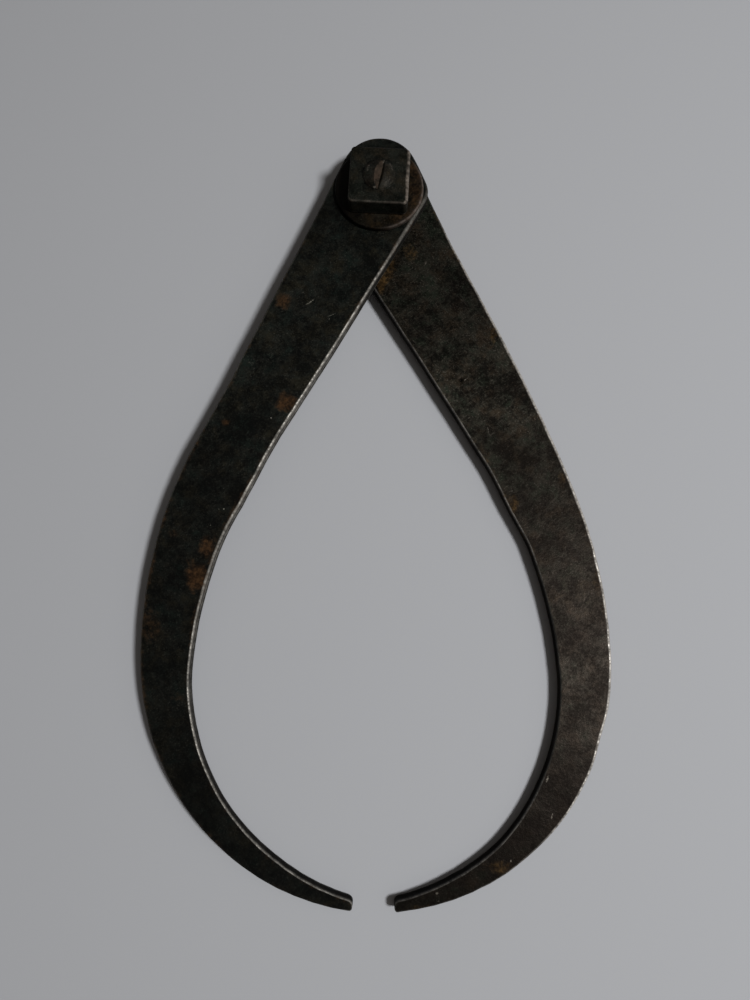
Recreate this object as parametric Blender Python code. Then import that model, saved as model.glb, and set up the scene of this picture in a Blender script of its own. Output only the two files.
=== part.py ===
"""Outside caliper with a firm joint: two bowed legs lapped on one bolt.

Units are metres and +Z is up. The bolt's axis is the Z axis, the legs reach towards -Y,
and the tool lies on Z = 0, on its bolt head and the points of its two legs.
"""

import math

import bmesh
import bpy
from mathutils import Matrix, Vector

MM = 0.001

# Spine of a leg, shared by both: a straight run from the pivot, a bow, then a hook to the point
SPINE_LEAN = math.radians(27.7)
SPINE_STRAIGHT = 91.8 * MM
BOW_RADIUS = 133.0 * MM
BOW_TURN = math.radians(25.0)
HOOK_RADIUS = 63.1 * MM
POINT_GAP = 11.1 * MM

# Half widths of the forged legs on each side of the spine, from the pivot to the point
HEAD_OUTER_HALF = 13.5 * MM
UPPER_HEAD_INNER_HALF = 13.3 * MM
LOWER_HEAD_INNER_HALF = 16.3 * MM
UPPER_WAIST_HALF = 9.6 * MM
LOWER_WAIST_HALF = 9.9 * MM
UPPER_HOOK_HALF = 6.8 * MM
LOWER_HOOK_HALF = 6.9 * MM
UPPER_POINT_HALF = 1.2 * MM
LOWER_POINT_HALF = 1.4 * MM

# Rounding of the outline
NOSE_REACH = 17.9 * MM
HEAD_SWELL = 0.6 * MM
SWELL_REACH = 25.0 * MM
HEAD_CORNER_RADIUS = 4.5 * MM
POINT_INNER_ROUND = 1.5 * MM
POINT_OUTER_ROUND = 0.7 * MM
POINT_ROUND_SHARE = 0.95

# Thickness of the legs, their worn edges, and the set that brings both points into one plane
LEG_THICKNESS = 4.8 * MM
LEG_EDGE_WEAR = 0.55 * MM
SET_START = 40.0 * MM
SET_BEND = 32.0 * MM

# Bolt, washer and nut
BOLT_DIAMETER = 9.5 * MM
BOLT_HEAD_DIAMETER = 20.0 * MM
BOLT_HEAD_HEIGHT = 2.0 * MM
BOLT_HEAD_CHAMFER = 0.7 * MM
BOLT_END_STAND = 0.3 * MM
BOLT_END_DOME = 1.3 * MM
GROOVE_DEPTH = 1.35 * MM
GROOVE_WIDTH = 2.8 * MM
GROOVE_ANGLE = math.radians(-10.0)
WASHER_DIAMETER = 26.6 * MM
WASHER_THICKNESS = 1.6 * MM
WASHER_EDGE_WEAR = 0.35 * MM
NUT_ACROSS_FLATS = 17.4 * MM
NUT_HEIGHT = 6.2 * MM
NUT_CORNER_RADIUS = 1.3 * MM
NUT_EDGE_WEAR = 0.6 * MM
NUT_ANGLE = math.radians(-3.0)
BORE_CHAMFER = 0.5 * MM

# Clearances: between faces that bear on each other, and between the bolt and its bores
SEAT_GAP = 0.3 * MM
BORE_GAP = 0.3 * MM

# Facets of the round stretches
BOW_STEPS = 8
HOOK_STEPS = 18
NOSE_STEPS = 14
CORNER_STEPS = 5
POINT_STEPS = 4
BEND_STEPS = 5
TURNED_STEPS = 48
WEAR_SEGMENTS = 2
SMOOTH_ANGLE = math.radians(32)
RIM_ANGLE = math.radians(80)
SAME_PLACE = 0.001 * MM

# Heights that follow from the stack on the bolt
LOWER_LEG_BASE = BOLT_HEAD_HEIGHT + SEAT_GAP
UPPER_LEG_BASE = LOWER_LEG_BASE + LEG_THICKNESS + SEAT_GAP
WASHER_BASE = UPPER_LEG_BASE + LEG_THICKNESS + SEAT_GAP
NUT_BASE = WASHER_BASE + WASHER_THICKNESS + SEAT_GAP
BOLT_END_BASE = NUT_BASE + NUT_HEIGHT + BOLT_END_STAND
BORE_RADIUS = BOLT_DIAMETER / 2 + BORE_GAP


def clear_scene():
    for old in list(bpy.data.objects):
        bpy.data.objects.remove(old, do_unlink=True)


def steel(name, colour, roughness, metallic):
    material = bpy.data.materials.new(name)
    material.use_nodes = True
    shader = material.node_tree.nodes["Principled BSDF"]
    shader.inputs["Base Color"].default_value = (*colour, 1.0)
    shader.inputs["Roughness"].default_value = roughness
    shader.inputs["Metallic"].default_value = metallic
    return material


def add_object(name, form, material=None):
    """Turns a bmesh into an object; without a material it is a hidden cutter."""
    bmesh.ops.recalc_face_normals(form, faces=form.faces)
    mesh = bpy.data.meshes.new(name)
    form.to_mesh(mesh)
    form.free()
    made = bpy.data.objects.new(name, mesh)
    bpy.context.scene.collection.objects.link(made)
    if material:
        mesh.materials.append(material)
        mesh.shade_smooth()
        mesh.set_sharp_from_angle(angle=SMOOTH_ANGLE)
    else:
        made.hide_render = True
        made.display_type = "WIRE"
    return made


def cut(target, cutter):
    boolean = target.modifiers.new("cut_" + cutter.name, "BOOLEAN")
    boolean.operation = "DIFFERENCE"
    boolean.solver = "EXACT"
    boolean.object = cutter


def turned(profile):
    """Spins a profile of (radius, height) points about the Z axis."""
    form = bmesh.new()
    points = [form.verts.new((radius, 0, height)) for radius, height in profile]
    ring = list(zip(points, points[1:]))
    if profile[0][0] > 0:
        ring.append((points[-1], points[0]))
    edges = [form.edges.new(pair) for pair in ring]
    bmesh.ops.spin(
        form,
        geom=points + edges,
        cent=(0, 0, 0),
        axis=(0, 0, 1),
        angle=math.tau,
        steps=TURNED_STEPS,
        use_merge=True,
    )
    bmesh.ops.remove_doubles(form, verts=form.verts, dist=SAME_PLACE)
    return form


def bore_cutter(name, thickness):
    """A cutter for a bore through a plate that stands on Z = 0, with its two mouths eased.

    The cone of each mouth runs on past the face of the plate by its own depth.
    """
    past = BORE_CHAMFER
    mouth = BORE_RADIUS + BORE_CHAMFER + past
    return add_object(
        name,
        turned([
            (0, -past),
            (mouth, -past),
            (BORE_RADIUS, BORE_CHAMFER),
            (BORE_RADIUS, thickness - BORE_CHAMFER),
            (mouth, thickness + past),
            (0, thickness + past),
        ]),
    )


def worn_plate(outline, thickness, wear, cross_cuts=()):
    """Extrudes an outline from Z = 0, splits it at heights of Y, and eases its rims."""
    form = bmesh.new()
    form.faces.new([form.verts.new((x, y, 0)) for x, y in outline])
    for y in cross_cuts:
        everything = form.verts[:] + form.edges[:] + form.faces[:]
        bmesh.ops.bisect_plane(form, geom=everything, plane_co=(0, y, 0), plane_no=(0, 1, 0))
    raised = bmesh.ops.extrude_face_region(form, geom=form.faces[:], use_keep_orig=True)
    top = [item for item in raised["geom"] if isinstance(item, bmesh.types.BMVert)]
    bmesh.ops.translate(form, verts=top, vec=(0, 0, thickness))
    bmesh.ops.recalc_face_normals(form, faces=form.faces)
    rims = [edge for edge in form.edges if edge.calc_face_angle() > RIM_ANGLE and is_level(edge)]
    bmesh.ops.bevel(
        form,
        geom=rims,
        offset=wear,
        segments=WEAR_SEGMENTS,
        profile=0.5,
        affect="EDGES",
        clamp_overlap=True,
    )
    return form


def is_level(edge):
    first, second = edge.verts
    return abs(first.co.z - second.co.z) < SAME_PLACE


def on_arc(centre, radius, heading):
    """The point of an arc that turns left where it runs along a heading."""
    return centre + radius * Vector((math.sin(heading), -math.cos(heading)))


def spine():
    """The left leg's spine as (point, heading, share) stops.

    The share counts 0 at the pivot, 1 where the bow starts, 2 at the hook and 3 at the point.
    """
    heading = -math.pi / 2 - SPINE_LEAN
    along = Vector((math.cos(heading), math.sin(heading)))
    left = Vector((-along.y, along.x))
    bow_centre = along * SPINE_STRAIGHT + left * BOW_RADIUS
    stops = [(Vector((0, 0)), heading, 0)]
    for step in range(BOW_STEPS):
        turn = heading + BOW_TURN * step / BOW_STEPS
        stops.append((on_arc(bow_centre, BOW_RADIUS, turn), turn, 1 + step / BOW_STEPS))
    hook_start = heading + BOW_TURN
    to_bow_centre = Vector((-math.sin(hook_start), math.cos(hook_start)))
    hook_centre = bow_centre - to_bow_centre * (BOW_RADIUS - HOOK_RADIUS)
    hook_end = math.asin((-POINT_GAP / 2 - hook_centre.x) / HOOK_RADIUS)
    for step in range(HOOK_STEPS + 1):
        turn = hook_start + (hook_end - hook_start) * step / HOOK_STEPS
        stops.append((on_arc(hook_centre, HOOK_RADIUS, turn), turn, 2 + step / HOOK_STEPS))
    return stops


def edge_of_leg(half_widths, side):
    """Points of one edge of a leg: side is -1 for the outer edge and 1 for the inner one."""
    points = []
    for place, heading, share in spine():
        first = min(int(share), 2)
        half = half_widths[first] + (half_widths[first + 1] - half_widths[first]) * (share - first)
        left = Vector((-math.sin(heading), math.cos(heading)))
        points.append(place + left * half * side)
    return points


def crossing(first, first_along, second, second_along):
    """Where two lines meet, each given by a point and a direction."""
    apart = second - first
    reach = apart.cross(second_along) / first_along.cross(second_along)
    return first + first_along * reach


def rounded(before, corner, after, radius, steps):
    """Points of an arc that rounds a corner between two straight sides."""
    back = (before - corner).normalized()
    on = (after - corner).normalized()
    half_angle = back.angle(on) / 2
    middle = (back + on).normalized()
    centre = corner + middle * radius / math.sin(half_angle)
    start = corner + back * radius / math.tan(half_angle) - centre
    swing = start.angle_signed(corner + on * radius / math.tan(half_angle) - centre)
    return [centre + Matrix.Rotation(-swing * step / steps, 2) @ start for step in range(steps + 1)]


def leg_outline(inner_halves, outer_halves):
    """The left leg's outline: nose, inner edge down to the point, outer edge back up."""
    outer = edge_of_leg(outer_halves, -1)
    inner = edge_of_leg(inner_halves, 1)

    # The head swells a little above a neck on the outer edge
    edge_up = (outer[0] - outer[1]).normalized()
    neck = outer[0] - edge_up * SWELL_REACH
    swollen = outer[0] + Vector((-edge_up.y, edge_up.x)) * HEAD_SWELL
    up = (swollen - neck).normalized()
    away = Vector((-up.y, up.x))

    # The nose is an arc between this flank and its mirror image across the tool's middle
    nose_radius = (neck.dot(away) - NOSE_REACH * away.y) / (1 - away.y)
    nose_centre = Vector((0, NOSE_REACH - nose_radius))
    first = math.atan2(away.y, away.x)
    last = math.pi - first
    nose = []
    for step in range(NOSE_STEPS + 1):
        turn = first + (last - first) * step / NOSE_STEPS
        nose.append(nose_centre + nose_radius * Vector((math.cos(turn), math.sin(turn))))

    # The mirrored flank runs down to the inner edge, with the corner between them rounded
    down = Vector((up.x, -up.y))
    corner = crossing(nose[-1], down, inner[1], inner[0] - inner[1])
    shoulder = rounded(nose[-1], corner, inner[1], HEAD_CORNER_RADIUS, CORNER_STEPS)

    # The point is cut square to the spine and its two corners are eased, as far as its width allows
    room = POINT_ROUND_SHARE * (outer[-1] - inner[-1]).length
    fit = min(1, room / (POINT_INNER_ROUND + POINT_OUTER_ROUND))
    inner_ease = rounded(inner[-2], inner[-1], outer[-1], POINT_INNER_ROUND * fit, POINT_STEPS)
    outer_ease = rounded(inner[-1], outer[-1], outer[-2], POINT_OUTER_ROUND * fit, POINT_STEPS)
    return nose + shoulder + inner[1:-1] + inner_ease + outer_ease + outer[-2:0:-1] + [neck]


def set_leg(form, base, reach):
    """Lowers a leg beyond its lap, in a bend and then a straight slope, until its point is at Z = 0."""
    slope = base / (reach - SET_START - SET_BEND / 2)
    for vertex in form.verts:
        past = -vertex.co.y - SET_START
        if past > SET_BEND:
            vertex.co.z -= slope * (past - SET_BEND / 2)
        elif past > 0:
            vertex.co.z -= slope * past * past / (2 * SET_BEND)


def make_leg(name, base, inner_halves, outer_halves, mirror, material):
    outline = leg_outline(inner_halves, outer_halves)
    reach = -min(y for _, y in outline)
    if mirror:
        outline = [(-x, y) for x, y in outline]
    bend_lines = [-SET_START - SET_BEND * step / BEND_STEPS for step in range(BEND_STEPS + 1)]
    form = worn_plate(outline, LEG_THICKNESS, LEG_EDGE_WEAR, bend_lines)
    set_leg(form, base, reach)
    leg = add_object(name, form, material)
    leg.location.z = base
    bore = bore_cutter(name + "_bore", LEG_THICKNESS)
    bore.parent = leg
    cut(leg, bore)
    return leg


def make_bolt(material):
    radius = BOLT_DIAMETER / 2
    head = BOLT_HEAD_DIAMETER / 2
    dome_radius = (radius**2 + BOLT_END_DOME**2) / (2 * BOLT_END_DOME)
    dome_half_angle = math.asin(radius / dome_radius)
    profile = [
        (0, 0),
        (head - BOLT_HEAD_CHAMFER, 0),
        (head, BOLT_HEAD_CHAMFER),
        (head, BOLT_HEAD_HEIGHT),
        (radius, BOLT_HEAD_HEIGHT),
    ]
    for step in range(CORNER_STEPS + 1):
        turn = dome_half_angle * (1 - step / CORNER_STEPS)
        rise = dome_radius * (math.cos(turn) - math.cos(dome_half_angle))
        profile.append((dome_radius * math.sin(turn), BOLT_END_BASE + rise))
    bolt = add_object("pivot_bolt", turned(profile), material)

    # A chisel-cut groove across the domed end, deepest where the dome is highest
    lip = GROOVE_DEPTH
    half = GROOVE_WIDTH / 2 * (GROOVE_DEPTH + lip) / GROOVE_DEPTH
    form = bmesh.new()
    section = ((0, -GROOVE_DEPTH), (half, lip), (-half, lip))
    wedge = [form.verts.new((x, -head, z)) for x, z in section]
    end = bmesh.ops.extrude_face_region(form, geom=[form.faces.new(wedge)], use_keep_orig=True)
    far = [item for item in end["geom"] if isinstance(item, bmesh.types.BMVert)]
    bmesh.ops.translate(form, verts=far, vec=(0, 2 * head, 0))
    groove = add_object("groove_cutter", form)
    groove.location.z = BOLT_END_BASE + BOLT_END_DOME
    groove.rotation_euler.z = GROOVE_ANGLE
    cut(bolt, groove)
    return bolt


def make_washer(material):
    rim = WASHER_DIAMETER / 2
    wear = WASHER_EDGE_WEAR
    profile = [
        (BORE_RADIUS, WASHER_THICKNESS),
        (rim - wear, WASHER_THICKNESS),
        (rim, WASHER_THICKNESS - wear),
        (rim, wear),
        (rim - wear, 0),
        (BORE_RADIUS, 0),
    ]
    washer = add_object("washer", turned(profile), material)
    washer.location.z = WASHER_BASE
    return washer


def make_nut(material):
    half = NUT_ACROSS_FLATS / 2
    corners = [Vector((half * x, half * y)) for x, y in ((-1, -1), (1, -1), (1, 1), (-1, 1))]
    outline = []
    for index, corner in enumerate(corners):
        before = corners[index - 1]
        after = corners[(index + 1) % len(corners)]
        outline += rounded(before, corner, after, NUT_CORNER_RADIUS, CORNER_STEPS)
    nut = add_object("square_nut", worn_plate(outline, NUT_HEIGHT, NUT_EDGE_WEAR), material)
    nut.location.z = NUT_BASE
    nut.rotation_euler.z = NUT_ANGLE
    bore = bore_cutter("nut_bore", NUT_HEIGHT)
    bore.parent = nut
    cut(nut, bore)
    return nut


def build():
    clear_scene()
    outer_upper = (HEAD_OUTER_HALF, UPPER_WAIST_HALF, UPPER_HOOK_HALF, UPPER_POINT_HALF)
    outer_lower = (HEAD_OUTER_HALF, LOWER_WAIST_HALF, LOWER_HOOK_HALF, LOWER_POINT_HALF)
    inner_upper = (UPPER_HEAD_INNER_HALF, *outer_upper[1:])
    inner_lower = (LOWER_HEAD_INNER_HALF, *outer_lower[1:])

    black_scale = steel("black_forge_scale", (0.032, 0.031, 0.030), 0.55, 0.75)
    brown_steel = steel("brown_aged_steel", (0.085, 0.076, 0.070), 0.50, 0.75)
    worn_steel = steel("worn_bolt_steel", (0.110, 0.105, 0.098), 0.45, 0.85)
    rusty_steel = steel("rusty_washer_steel", (0.095, 0.070, 0.052), 0.65, 0.60)
    dark_steel = steel("dark_nut_steel", (0.070, 0.064, 0.058), 0.50, 0.80)

    pivot = bpy.data.objects.new("pivot_axis", None)
    bpy.context.scene.collection.objects.link(pivot)
    pieces = [
        make_leg("lower_leg", LOWER_LEG_BASE, inner_lower, outer_lower, True, brown_steel),
        make_leg("upper_leg", UPPER_LEG_BASE, inner_upper, outer_upper, False, black_scale),
        make_bolt(worn_steel),
        make_washer(rusty_steel),
        make_nut(dark_steel),
    ]
    for piece in pieces:
        piece.parent = pivot


build()
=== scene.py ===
"""Looks of the outside caliper: hand-forged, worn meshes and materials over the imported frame."""

import math

import bmesh
import bpy
import numpy as np
from mathutils import Matrix, Vector, kdtree, noise
from mathutils.geometry import delaunay_2d_cdt


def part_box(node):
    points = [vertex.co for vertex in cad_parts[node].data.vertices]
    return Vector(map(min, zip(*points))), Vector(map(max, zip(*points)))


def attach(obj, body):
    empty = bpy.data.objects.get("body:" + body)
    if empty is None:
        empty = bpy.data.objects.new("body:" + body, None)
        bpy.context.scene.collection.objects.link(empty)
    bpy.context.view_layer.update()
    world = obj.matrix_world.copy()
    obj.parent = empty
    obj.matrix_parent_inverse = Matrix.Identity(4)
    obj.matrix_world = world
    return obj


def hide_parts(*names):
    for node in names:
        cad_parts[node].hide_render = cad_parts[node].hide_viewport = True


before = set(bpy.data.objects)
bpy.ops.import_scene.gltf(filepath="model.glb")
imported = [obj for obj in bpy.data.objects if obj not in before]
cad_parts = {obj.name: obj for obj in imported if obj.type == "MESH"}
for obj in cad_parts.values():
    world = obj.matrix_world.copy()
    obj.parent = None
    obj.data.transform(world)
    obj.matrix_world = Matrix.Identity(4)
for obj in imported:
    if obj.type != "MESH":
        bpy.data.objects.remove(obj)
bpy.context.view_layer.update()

# Outlines and heights below are in mm, and meshes are in metres
TO_MM = 1000.0
WELD = 1e-6
WALL_TILT = 0.2
FILLED = 1
FILL_WELD = 1e-5

# Fractal noise
FRACTAL_FALL = 0.8
FRACTAL_STEP = 2.0
FRACTAL_OCTAVES = 3
SEED_WAY = Vector((1.0, 0.7, 1.3))


# Reading the frame


def rims(node, side):
    """Loops in mm where a node's walls end at its upper (1) or lower (-1) faces, the widest first."""
    form = bmesh.new()
    form.from_mesh(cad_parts[node].data)
    bmesh.ops.remove_doubles(form, verts=form.verts, dist=WELD)
    form.normal_update()
    near = {}
    for edge in form.edges:
        tilts = sorted(face.normal.z * side for face in edge.link_faces)
        if len(tilts) == 2 and abs(tilts[0]) < WALL_TILT < tilts[1]:
            for vertex in edge.verts:
                near.setdefault(vertex, []).append(edge.other_vert(vertex))
    loops = []
    while near:
        loop = [next(iter(near))]
        while True:
            onward = [vertex for vertex in near.pop(loop[-1]) if vertex in near]
            if not onward:
                break
            loop.append(onward[0])
        loops.append(np.array([vertex.co for vertex in loop]) * TO_MM)
    form.free()
    return sorted(loops, key=lambda loop: -np.ptp(loop[:, :2], axis=0).max())


def resampled(loop, step):
    """A closed loop of 2D points at an even step, counter-clockwise."""
    x, y = loop[:, 0], loop[:, 1]
    if np.sum(x * np.roll(y, -1) - np.roll(x, -1) * y) < 0:
        loop = loop[::-1]
    closed = np.vstack((loop[:, :2], loop[:1, :2]))
    length = np.r_[0, np.cumsum(np.linalg.norm(np.diff(closed, axis=0), axis=1))]
    stops = np.linspace(0, length[-1], int(length[-1] / step), endpoint=False)
    return np.c_[np.interp(stops, length, closed[:, 0]), np.interp(stops, length, closed[:, 1])]


# Shaping


def eased(values, reach):
    """A closed run of values with a bell-shaped average over a number of samples each way."""
    shifts = np.arange(-2 * reach, 2 * reach + 1)
    shares = np.exp(-0.5 * (shifts / reach) ** 2)
    shares /= shares.sum()
    return sum(share * np.roll(values, shift, axis=0) for share, shift in zip(shares, shifts))


def outward(outline):
    """Unit normals of a counter-clockwise outline, pointing out of it."""
    along_it = np.roll(outline, -1, axis=0) - np.roll(outline, 1, axis=0)
    normal = np.c_[along_it[:, 1], -along_it[:, 0]]
    return normal / np.linalg.norm(normal, axis=1, keepdims=True)


def rough(points, size, seed):
    """Fractal noise of about -1 to 1 at 2D or 3D points in mm."""
    found = []
    for point in points:
        place = Vector((point[0], point[1], point[2] if len(point) > 2 else 0.0)) / size
        found.append(noise.fractal(place + seed * SEED_WAY, FRACTAL_FALL, FRACTAL_STEP, FRACTAL_OCTAVES))
    return np.array(found)


def layered(points, *layers):
    """The sum of layers of noise, each (strength, size in mm, seed)."""
    return sum(strength * rough(points, size, seed) for strength, size, seed in layers)


def unit(values):
    return np.clip(values, 0, 1)


def circle(radius, count):
    turns = np.linspace(0, math.tau, count, endpoint=False)
    return radius * np.c_[np.cos(turns), np.sin(turns)]


def staggered(xs, ys, spacing):
    """Grid points, with every second row moved by half a spacing."""
    return np.array([(x + spacing / 2 * (row % 2), y) for row, y in enumerate(ys) for x in xs])


def loop_edges(first, count):
    """Edges of a closed loop of count points, numbered from first."""
    return [(first + i, first + (i + 1) % count) for i in range(count)]


def triangulated(points, edges):
    """Points and triangles that fill the loops, and the new index of each given point."""
    found, _, faces, source, _, _ = delaunay_2d_cdt(
        [Vector(point) for point in points], edges, [], FILLED, FILL_WELD
    )
    index_of = {first: index for index, group in enumerate(source) for first in group}
    return np.array(found), [tuple(face) for face in faces], index_of


def add_object(name, places, polygons):
    mesh = bpy.data.meshes.new(name)
    mesh.from_pydata((np.asarray(places) / TO_MM).tolist(), [], polygons)
    form = bmesh.new()
    form.from_mesh(mesh)
    bmesh.ops.recalc_face_normals(form, faces=form.faces)
    form.to_mesh(mesh)
    form.free()
    mesh.shade_smooth()
    made = bpy.data.objects.new(name, mesh)
    bpy.context.scene.collection.objects.link(made)
    return made


def add_attribute(made, name, values):
    attribute = made.data.attributes.new(name, "FLOAT", "POINT")
    attribute.data.foreach_set("value", np.asarray(values, dtype=np.float32))


def finish(made, node, material):
    made.data.materials.append(material)
    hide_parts(node)


# A worn plate over a node

POINT_FADE = 4.0
BORE_COUNT = 48
RING_SHARES = (0.06, 0.2, 0.42, 0.7, 1.0, 1.5)
RING_CLEAR = 0.93
ROW_PITCH = 0.87
GRID_FROM_WEAR = 1.5
GRID_FROM_RING = 0.6
GRID_FROM_BORE = 0.5
BORE_INSIDE = 0.99
PIT_SHARES = (0.2, 0.5, 0.8, 1.1, 1.5)
PIT_SPOKES = 10
RELIEF_AT_EDGE = 0.25
BULGE_SIZE = 2.2
BULGE_SEED = 7.7


class Plate:
    """A dense plate that follows a node's outline, with worn edges of uneven width."""

    def __init__(self, node, step, spacing):
        upper, lower = rims(node, 1), rims(node, -1)
        _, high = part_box(node)
        self.step = step
        self.spacing = spacing
        trim = high.z * TO_MM - upper[0][:, 2].max()
        self.top_line = self.heights(upper[0], trim)
        self.bottom_line = self.heights(lower[0], -trim)
        self.outline = resampled(upper[0], step)
        self.bore = np.linalg.norm(upper[-1][:, :2], axis=1).mean()
        self.normals = outward(self.outline)

    @staticmethod
    def heights(loop, lift):
        order = np.argsort(loop[:, 1])
        return loop[order, 1], loop[order, 2] + lift

    def top(self, y):
        return np.interp(y, *self.top_line)

    def bottom(self, y):
        return np.interp(y, *self.bottom_line)

    def smooth(self, reach, above=-math.inf):
        """Eases the facets of the outline over a reach in mm, above a Y that keeps the points sharp."""
        soft = eased(self.outline, max(1, round(reach / self.step)))
        keep = unit((self.outline[:, 1:] - above) / POINT_FADE)
        self.outline = self.outline + (soft - self.outline) * keep
        self.normals = outward(self.outline)

    def push(self, amount):
        """Moves the outline out by an amount in mm at each of its points."""
        self.outline = self.outline + self.normals * np.asarray(amount)[:, None]
        self.normals = outward(self.outline)

    def measure(self, points):
        """Distance in mm to the outline, and the nearest outline sample, of each point."""
        tree = kdtree.KDTree(len(self.outline))
        for index, (x, y) in enumerate(self.outline):
            tree.insert((x, y, 0), index)
        tree.balance()
        nearest = np.array([tree.find((x, y, 0))[1] for x, y in points])
        best = np.full(len(points), np.inf)
        for shift in (-1, 0):
            start = self.outline[(nearest + shift) % len(self.outline)]
            run = self.outline[(nearest + shift + 1) % len(self.outline)] - start
            share = np.einsum("ij,ij->i", points - start, run) / np.einsum("ij,ij->i", run, run)
            foot = start + run * unit(share)[:, None]
            best = np.minimum(best, np.linalg.norm(points - foot, axis=1))
        return best, nearest

    def filled(self, wear, pits):
        """Points and triangles inside the outline, and the indices of its rim and of the bore's."""
        count = len(self.outline)
        rings = []
        for share in RING_SHARES:
            ring = self.outline - self.normals * (wear * share)[:, None]
            away, _ = self.measure(ring)
            rings.append(ring[away > RING_CLEAR * wear * share])
        for x, y, size, _ in pits:
            for share in PIT_SHARES:
                spin = np.linspace(0, math.tau, PIT_SPOKES, endpoint=False) + share
                rings.append(np.c_[x + share * size * np.cos(spin), y + share * size * np.sin(spin)])
        low, high = self.outline.min(axis=0), self.outline.max(axis=0)
        xs = np.arange(low[0], high[0], self.spacing)
        ys = np.arange(low[1], high[1], self.spacing * ROW_PITCH)
        grid = staggered(xs, ys, self.spacing)
        away, near = self.measure(grid)
        inside = np.einsum("ij,ij->i", grid - self.outline[near], self.normals[near]) < 0
        clear = away > GRID_FROM_WEAR * wear[near] + GRID_FROM_RING * self.spacing
        out_of_bore = np.linalg.norm(grid, axis=1) > self.bore + GRID_FROM_BORE * self.spacing
        grid = grid[inside & clear & out_of_bore]
        points = np.vstack((self.outline, circle(self.bore, BORE_COUNT), *rings, grid))
        edges = loop_edges(0, count) + loop_edges(count, BORE_COUNT)
        flat, faces, index_of = triangulated(points, edges)
        middle = np.array([flat[list(face)].mean(axis=0) for face in faces])
        solid = np.linalg.norm(middle, axis=1) > BORE_INSIDE * self.bore
        faces = [face for face, kept in zip(faces, solid) if kept]
        rim = [index_of[i] for i in range(count)]
        bore = [index_of[count + i] for i in range(BORE_COUNT)]
        return flat, faces, rim, bore

    def build(self, name, wear, relief, rows, side_rough, pits=()):
        """Makes the object: wear is the edge radius at each outline sample, relief(flat, face) its dents."""
        count = len(self.outline)
        flat, faces, rim, bore = self.filled(wear, pits)
        number = len(flat)
        away, near = self.measure(flat)
        radius = wear[near]
        inward = unit(away / radius)
        drop = radius * (1 - np.sqrt(1 - (1 - inward) ** 2))
        fade = np.clip(inward, RELIEF_AT_EDGE, 1)
        top = self.top(flat[:, 1]) - drop + relief(flat, 1) * fade
        bottom = self.bottom(flat[:, 1]) + drop - relief(flat, -1) * fade
        places = [np.c_[flat, top], np.c_[flat, bottom]]
        polygons = faces + [tuple(number + i for i in reversed(face)) for face in faces]
        near_of = [near, near]
        away_of = [away, away]
        wall_of = [np.zeros(number), np.zeros(number)]

        # Walls: rows of points between the upper and the lower rim
        total = 2 * number
        above = rim
        for row in range(1, rows + 1):
            share = row / rows
            if row < rows:
                z = top[rim] + (bottom[rim] - top[rim]) * share
                spots = np.c_[self.outline, z]
                bulge = side_rough * rough(spots, BULGE_SIZE, BULGE_SEED) * math.sin(math.pi * share)
                spots[:, :2] += self.normals * bulge[:, None]
                below = list(range(total, total + count))
                total += count
                places.append(spots)
                near_of.append(np.arange(count))
                away_of.append(np.zeros(count))
                wall_of.append(np.full(count, 1 - abs(2 * share - 1)))
            else:
                below = [number + i for i in rim]
            polygons += [(above[i], below[i], below[j], above[j]) for i, j in loop_edges(0, count)]
            above = below
        for i, j in loop_edges(0, BORE_COUNT):
            polygons.append((bore[i], bore[j], number + bore[j], number + bore[i]))

        self.places = np.vstack(places)
        self.near = np.concatenate(near_of)
        self.away = np.concatenate(away_of)
        self.wall = np.concatenate(wall_of)
        self.on_wall = self.wall > 0
        self.reach = self.away / wear[self.near]
        heights = self.places[:, 1]
        self.lower = self.places[:, 2] < 0.5 * (self.top(heights) + self.bottom(heights))
        self.object = add_object(name, self.places, polygons)
        return self.object

    def attribute(self, name, values):
        add_attribute(self.object, name, values)


# Materials

SEED_SHARES = (1.0, 0.61, 0.37)
MARK_SPAN = (1.3, 0.7)
MARK_DEPTH = 1e6


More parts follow.
